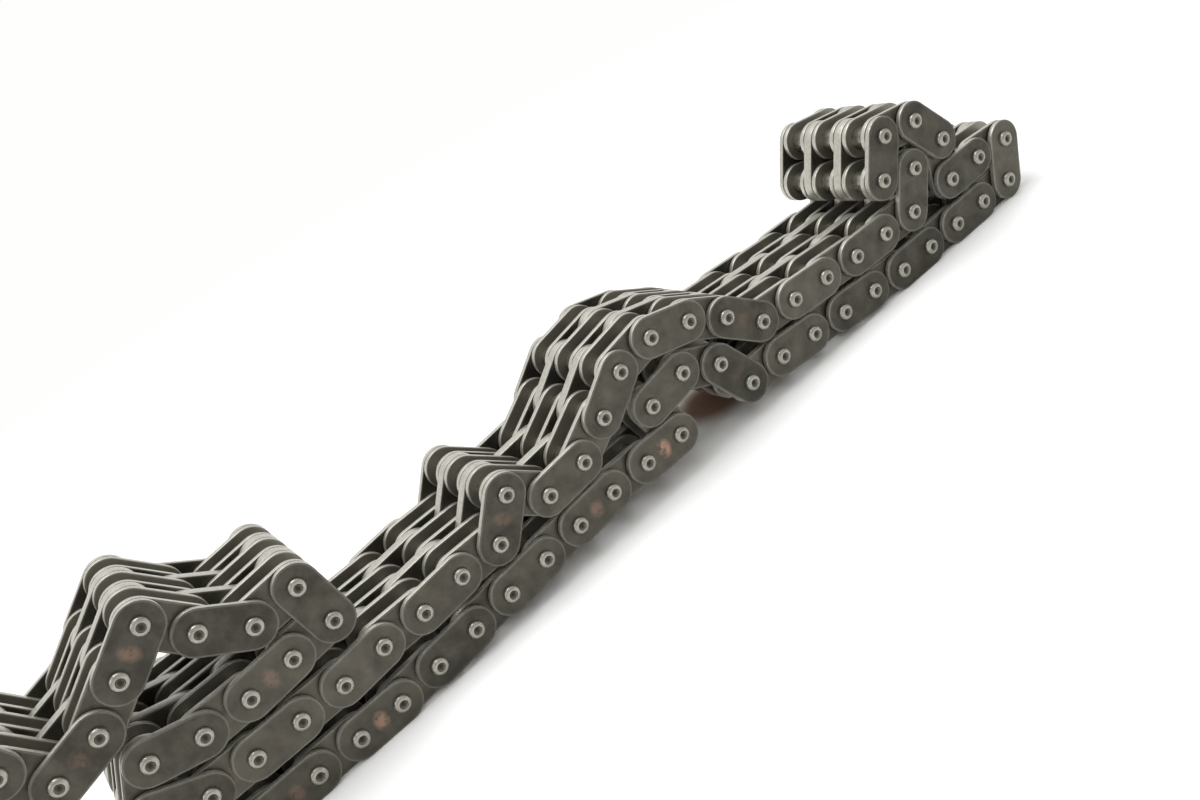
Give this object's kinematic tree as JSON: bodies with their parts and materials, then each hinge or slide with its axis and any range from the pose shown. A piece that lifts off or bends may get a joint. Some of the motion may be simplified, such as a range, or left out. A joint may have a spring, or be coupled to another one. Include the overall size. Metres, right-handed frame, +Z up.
{
  "type": "triple-strand bush chain",
  "caption": "Triplex bush chain of a primary drive, lying in a folded pile, with flat straight-sided link plates on riveted pins",
  "frame": {"origin": "middle of the underside of the pile's bounding box", "axes": "+Z up, +X along the bottom run towards the curled end, pins along Y, the pictured side faces -Y"},
  "size_m": [0.2806, 0.0324, 0.0553],
  "materials": {
    "outer_plates": "oiled, dark, pale worn edges",
    "centre_plates": "oiled, dark",
    "pins": "bright, riveted ends",
    "inner_plates": "oiled, dark",
    "bushes": "oiled, dark",
    "outer_links": "oiled, dark plates with bright pins",
    "inner_links": "oiled, dark plates and bushes"
  },
  "bodies": {
    "bottom_run": {"run_outer_plates": "outer_plates", "run_centre_plates": "centre_plates", "run_pins": "pins", "run_inner_plates": "inner_plates", "run_bushes": "bushes"},
    "outer_link_01": {"outer_link_01": "outer_links"},
    "inner_link_02": {"inner_link_02": "inner_links"},
    "outer_link_03": {"outer_link_03": "outer_links"},
    "inner_link_04": {"inner_link_04": "inner_links"},
    "outer_link_05": {"outer_link_05": "outer_links"},
    "inner_link_06": {"inner_link_06": "inner_links"},
    "outer_link_07": {"outer_link_07": "outer_links"},
    "inner_link_08": {"inner_link_08": "inner_links"},
    "outer_link_09": {"outer_link_09": "outer_links"},
    "inner_link_10": {"inner_link_10": "inner_links"},
    "outer_link_11": {"outer_link_11": "outer_links"},
    "inner_link_12": {"inner_link_12": "inner_links"},
    "outer_link_13": {"outer_link_13": "outer_links"},
    "inner_link_14": {"inner_link_14": "inner_links"},
    "outer_link_15": {"outer_link_15": "outer_links"},
    "inner_link_16": {"inner_link_16": "inner_links"},
    "outer_link_17": {"outer_link_17": "outer_links"},
    "inner_link_18": {"inner_link_18": "inner_links"},
    "outer_link_19": {"outer_link_19": "outer_links"},
    "inner_link_20": {"inner_link_20": "inner_links"},
    "outer_link_21": {"outer_link_21": "outer_links"},
    "inner_link_22": {"inner_link_22": "inner_links"},
    "outer_link_23": {"outer_link_23": "outer_links"},
    "inner_link_24": {"inner_link_24": "inner_links"},
    "outer_link_25": {"outer_link_25": "outer_links"},
    "inner_link_26": {"inner_link_26": "inner_links"},
    "outer_link_27": {"outer_link_27": "outer_links"},
    "inner_link_28": {"inner_link_28": "inner_links"},
    "outer_link_29": {"outer_link_29": "outer_links"},
    "inner_link_30": {"inner_link_30": "inner_links"},
    "outer_link_31": {"outer_link_31": "outer_links"},
    "inner_link_32": {"inner_link_32": "inner_links"},
    "outer_link_33": {"outer_link_33": "outer_links"},
    "inner_link_34": {"inner_link_34": "inner_links"},
    "outer_link_35": {"outer_link_35": "outer_links"},
    "inner_link_36": {"inner_link_36": "inner_links"},
    "outer_link_37": {"outer_link_37": "outer_links"},
    "inner_link_38": {"inner_link_38": "inner_links"},
    "outer_link_39": {"outer_link_39": "outer_links"},
    "inner_link_40": {"inner_link_40": "inner_links"},
    "outer_link_41": {"outer_link_41": "outer_links"},
    "inner_link_42": {"inner_link_42": "inner_links"},
    "outer_link_43": {"outer_link_43": "outer_links"},
    "inner_link_44": {"inner_link_44": "inner_links"},
    "outer_link_45": {"outer_link_45": "outer_links"},
    "inner_link_46": {"inner_link_46": "inner_links"},
    "outer_link_47": {"outer_link_47": "outer_links"},
    "inner_link_48": {"inner_link_48": "inner_links"},
    "outer_link_49": {"outer_link_49": "outer_links"},
    "inner_link_50": {"inner_link_50": "inner_links"},
    "outer_link_51": {"outer_link_51": "outer_links"}
  },
  "joints": [
    {"name": "pivot_01", "type": "hinge", "parent": "bottom_run", "child": "outer_link_01", "pos_m": [0.1326, 0, 0.00443], "axis": [0, 1, 0], "range_deg": [0, 18]},
    {"name": "pivot_02", "type": "hinge", "parent": "outer_link_01", "child": "inner_link_02", "pos_m": [0.13585, 0, 0.01338], "axis": [0, -1, 0], "range_deg": [-18, 0]},
    {"name": "pivot_03", "type": "hinge", "parent": "inner_link_02", "child": "outer_link_03", "pos_m": [0.12637, 0, 0.01421], "axis": [0, 1, 0], "range_deg": [0, 18]},
    {"name": "pivot_04", "type": "hinge", "parent": "outer_link_03", "child": "inner_link_04", "pos_m": [0.11684, 0, 0.01421], "axis": [0, -1, 0], "range_deg": [-8, 0]},
    {"name": "pivot_05", "type": "hinge", "parent": "inner_link_04", "child": "outer_link_05", "pos_m": [0.11849, 0, 0.02359], "axis": [0, 1, 0], "range_deg": [0, 18]},
    {"name": "pivot_06", "type": "hinge", "parent": "outer_link_05", "child": "inner_link_06", "pos_m": [0.11303, 0, 0.0314], "axis": [0, -1, 0], "range_deg": [-18, 0]},
    {"name": "pivot_07", "type": "hinge", "parent": "inner_link_06", "child": "outer_link_07", "pos_m": [0.10365, 0, 0.03305], "axis": [0, 1, 0], "range_deg": [0, 18]},
    {"name": "pivot_08", "type": "hinge", "parent": "outer_link_07", "child": "inner_link_08", "pos_m": [0.09889, 0, 0.0248], "axis": [0, -1, 0], "range_deg": [-10, 0]},
    {"name": "pivot_09", "type": "hinge", "parent": "inner_link_08", "child": "outer_link_09", "pos_m": [0.10809, 0, 0.02234], "axis": [0, 1, 0], "range_deg": [0, 4]},
    {"name": "pivot_10", "type": "hinge", "parent": "outer_link_09", "child": "inner_link_10", "pos_m": [0.10333, 0, 0.01409], "axis": [0, -1, 0], "range_deg": [-12, 0]},
    {"name": "pivot_11", "type": "hinge", "parent": "inner_link_10", "child": "outer_link_11", "pos_m": [0.09381, 0, 0.01442], "axis": [0, 1, 0], "range_deg": [0, 18]},
    {"name": "pivot_12", "type": "hinge", "parent": "outer_link_11", "child": "inner_link_12", "pos_m": [0.08429, 0, 0.01475], "axis": [0, -1, 0], "range_deg": [-18, 0]},
    {"name": "pivot_13", "type": "hinge", "parent": "inner_link_12", "child": "outer_link_13", "pos_m": [0.0748, 0, 0.01558], "axis": [0, 1, 0], "range_deg": [0, 18]},
    {"name": "pivot_14", "type": "hinge", "parent": "outer_link_13", "child": "inner_link_14", "pos_m": [0.06531, 0, 0.01641], "axis": [0, -1, 0], "range_deg": [-18, 0]},
    {"name": "pivot_15", "type": "hinge", "parent": "inner_link_14", "child": "outer_link_15", "pos_m": [0.05582, 0, 0.01724], "axis": [0, 1, 0], "range_deg": [0, 18]},
    {"name": "pivot_16", "type": "hinge", "parent": "outer_link_15", "child": "inner_link_16", "pos_m": [0.04853, 0, 0.02336], "axis": [0, -1, 0], "range_deg": [-18, 0]},
    {"name": "pivot_17", "type": "hinge", "parent": "inner_link_16", "child": "outer_link_17", "pos_m": [0.04028, 0, 0.02813], "axis": [0, 1, 0], "range_deg": [0, 18]},
    {"name": "pivot_18", "type": "hinge", "parent": "outer_link_17", "child": "inner_link_18", "pos_m": [0.03108, 0, 0.03059], "axis": [0, -1, 0], "range_deg": [-18, 0]},
    {"name": "pivot_19", "type": "hinge", "parent": "inner_link_18", "child": "outer_link_19", "pos_m": [0.0217, 0, 0.02894], "axis": [0, 1, 0], "range_deg": [0, 18]},
    {"name": "pivot_20", "type": "hinge", "parent": "outer_link_19", "child": "inner_link_20", "pos_m": [0.01389, 0, 0.02347], "axis": [0, -1, 0], "range_deg": [-18, 0]},
    {"name": "pivot_21", "type": "hinge", "parent": "inner_link_20", "child": "outer_link_21", "pos_m": [0.00564, 0, 0.01871], "axis": [0, 1, 0], "range_deg": [0, 18]},
    {"name": "pivot_22", "type": "hinge", "parent": "outer_link_21", "child": "inner_link_22", "pos_m": [-0.00384, 0, 0.01788], "axis": [0, -1, 0], "range_deg": [-18, 0]},
    {"name": "pivot_23", "type": "hinge", "parent": "inner_link_22", "child": "outer_link_23", "pos_m": [-0.01114, 0, 0.024], "axis": [0, 1, 0], "range_deg": [0, 18]},
    {"name": "pivot_24", "type": "hinge", "parent": "outer_link_23", "child": "inner_link_24", "pos_m": [-0.01726, 0, 0.01671], "axis": [0, -1, 0], "range_deg": [-18, 0]},
    {"name": "pivot_25", "type": "hinge", "parent": "inner_link_24", "child": "outer_link_25", "pos_m": [-0.02679, 0, 0.01671], "axis": [0, 1, 0], "range_deg": [0, 18]},
    {"name": "pivot_26", "type": "hinge", "parent": "outer_link_25", "child": "inner_link_26", "pos_m": [-0.03628, 0, 0.01588], "axis": [0, -1, 0], "range_deg": [-18, 0]},
    {"name": "pivot_27", "type": "hinge", "parent": "inner_link_26", "child": "outer_link_27", "pos_m": [-0.0458, 0, 0.01588], "axis": [0, 1, 0], "range_deg": [0, 18]},
    {"name": "pivot_28", "type": "hinge", "parent": "outer_link_27", "child": "inner_link_28", "pos_m": [-0.05529, 0, 0.01505], "axis": [0, -1, 0], "range_deg": [-12, 0]},
    {"name": "pivot_29", "type": "hinge", "parent": "inner_link_28", "child": "outer_link_29", "pos_m": [-0.06482, 0, 0.01505], "axis": [0, 1, 0], "range_deg": [0, 6]},
    {"name": "pivot_30", "type": "hinge", "parent": "outer_link_29", "child": "inner_link_30", "pos_m": [-0.07434, 0, 0.01505], "axis": [0, 1, 0], "range_deg": [-10, 0]},
    {"name": "pivot_31", "type": "hinge", "parent": "inner_link_30", "child": "outer_link_31", "pos_m": [-0.08387, 0, 0.01505], "axis": [0, -1, 0], "range_deg": [0, 16]},
    {"name": "pivot_32", "type": "hinge", "parent": "outer_link_31", "child": "inner_link_32", "pos_m": [-0.0925, 0, 0.01907], "axis": [0, 1, 0], "range_deg": [-12, 0]},
    {"name": "pivot_33", "type": "hinge", "parent": "inner_link_32", "child": "outer_link_33", "pos_m": [-0.08774, 0, 0.02732], "axis": [0, -1, 0], "range_deg": [0, 8]},
    {"name": "pivot_34", "type": "hinge", "parent": "outer_link_33", "child": "inner_link_34", "pos_m": [-0.07854, 0, 0.02486], "axis": [0, 1, 0], "range_deg": [-6, 0]},
    {"name": "pivot_35", "type": "hinge", "parent": "inner_link_34", "child": "outer_link_35", "pos_m": [-0.06901, 0, 0.02486], "axis": [0, 1, 0], "range_deg": [0, 5]},
    {"name": "pivot_36", "type": "hinge", "parent": "outer_link_35", "child": "inner_link_36", "pos_m": [-0.05952, 0, 0.02569], "axis": [0, -1, 0], "range_deg": [-10, 0]},
    {"name": "pivot_37", "type": "hinge", "parent": "inner_link_36", "child": "outer_link_37", "pos_m": [-0.05003, 0, 0.02652], "axis": [0, 1, 0], "range_deg": [0, 18]},
    {"name": "pivot_38", "type": "hinge", "parent": "outer_link_37", "child": "inner_link_38", "pos_m": [-0.05169, 0, 0.0359], "axis": [0, -1, 0], "range_deg": [-18, 0]},
    {"name": "pivot_39", "type": "hinge", "parent": "inner_link_38", "child": "outer_link_39", "pos_m": [-0.06118, 0, 0.03507], "axis": [0, 1, 0], "range_deg": [0, 18]},
    {"name": "pivot_40", "type": "hinge", "parent": "outer_link_39", "child": "inner_link_40", "pos_m": [-0.06898, 0, 0.04053], "axis": [0, -1, 0], "range_deg": [-18, 0]},
    {"name": "pivot_41", "type": "hinge", "parent": "inner_link_40", "child": "outer_link_41", "pos_m": [-0.0751, 0, 0.04783], "axis": [0, 1, 0], "range_deg": [0, 18]},
    {"name": "pivot_42", "type": "hinge", "parent": "outer_link_41", "child": "inner_link_42", "pos_m": [-0.0829, 0, 0.04236], "axis": [0, -1, 0], "range_deg": [-18, 0]},
    {"name": "pivot_43", "type": "hinge", "parent": "inner_link_42", "child": "outer_link_43", "pos_m": [-0.09071, 0, 0.0369], "axis": [0, 1, 0], "range_deg": [0, 18]},
    {"name": "pivot_44", "type": "hinge", "parent": "outer_link_43", "child": "inner_link_44", "pos_m": [-0.09991, 0, 0.03444], "axis": [0, -1, 0], "range_deg": [-18, 0]},
    {"name": "pivot_45", "type": "hinge", "parent": "inner_link_44", "child": "outer_link_45", "pos_m": [-0.10537, 0, 0.04224], "axis": [0, 1, 0], "range_deg": [0, 18]},
    {"name": "pivot_46", "type": "hinge", "parent": "outer_link_45", "child": "inner_link_46", "pos_m": [-0.10939, 0, 0.05087], "axis": [0, -1, 0], "range_deg": [-18, 0]},
    {"name": "pivot_47", "type": "hinge", "parent": "inner_link_46", "child": "outer_link_47", "pos_m": [-0.11888, 0, 0.05004], "axis": [0, 1, 0], "range_deg": [0, 18]},
    {"name": "pivot_48", "type": "hinge", "parent": "outer_link_47", "child": "inner_link_48", "pos_m": [-0.12618, 0, 0.04392], "axis": [0, -1, 0], "range_deg": [-18, 0]},
    {"name": "pivot_49", "type": "hinge", "parent": "inner_link_48", "child": "outer_link_49", "pos_m": [-0.13094, 0, 0.03567], "axis": [0, 1, 0], "range_deg": [0, 18]},
    {"name": "pivot_50", "type": "hinge", "parent": "outer_link_49", "child": "inner_link_50", "pos_m": [-0.1342, 0, 0.02672], "axis": [0, -1, 0], "range_deg": [-18, 0]},
    {"name": "pivot_51", "type": "hinge", "parent": "inner_link_50", "child": "outer_link_51", "pos_m": [-0.13585, 0, 0.01734], "axis": [0, 1, 0], "range_deg": [0, 18]}
  ]
}
